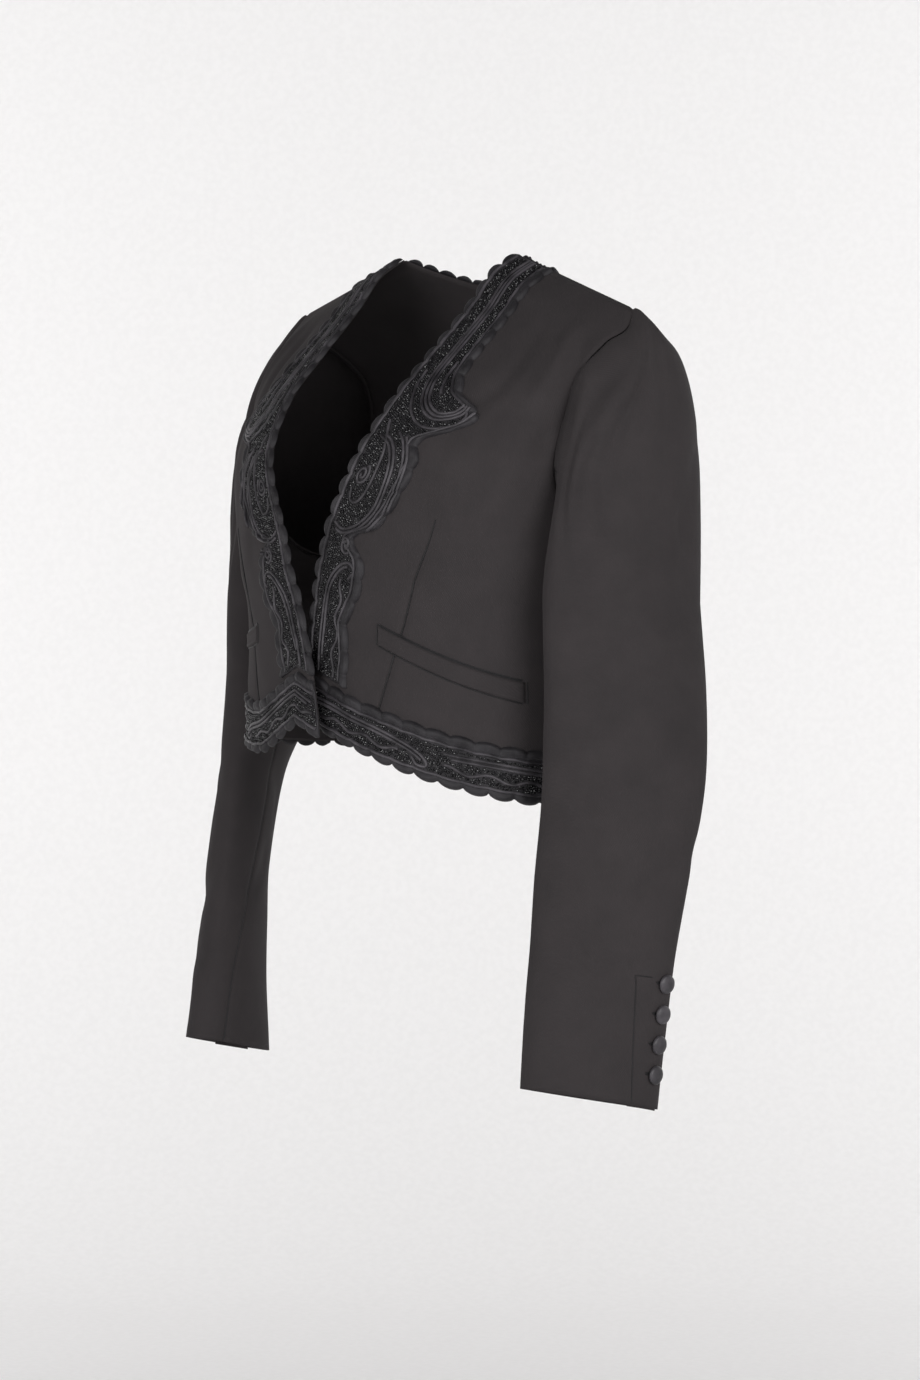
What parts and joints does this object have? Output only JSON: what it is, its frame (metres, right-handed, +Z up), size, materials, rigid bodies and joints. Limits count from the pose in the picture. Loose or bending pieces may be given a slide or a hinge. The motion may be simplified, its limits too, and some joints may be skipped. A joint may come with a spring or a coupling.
{
  "type": "woven jacket",
  "caption": "Cropped collarless jacket with long sleeves, a deep V neck, a scalloped applique border, welt pockets and covered cuff buttons.",
  "frame": {"origin": "middle of the neck opening, level with the neck points of the shoulder seams", "axes": "+X towards the wearer's left, -Y towards the front, +Z up"},
  "size_m": [0.6086, 0.3031, 0.7067],
  "materials": {
    "cloth": "matt dense wool-like weave",
    "applique": "satin cord and beaded applique",
    "button": "satin-covered"
  },
  "bodies": {
    "root": {"back": "cloth", "border_hem_back": "applique", "border_neck_back": "applique", "front_left": "cloth", "border_front_left": "applique", "border_hem_left": "applique", "welt_left": "cloth", "upper_sleeve_left": "cloth", "under_sleeve_left": "cloth", "button_left_1": "button", "button_left_2": "button", "button_left_3": "button", "button_left_4": "button", "front_right": "cloth", "border_front_right": "applique", "border_hem_right": "applique", "welt_right": "cloth", "upper_sleeve_right": "cloth", "under_sleeve_right": "cloth", "button_right_1": "button", "button_right_2": "button", "button_right_3": "button", "button_right_4": "button"}
  },
  "joints": []
}
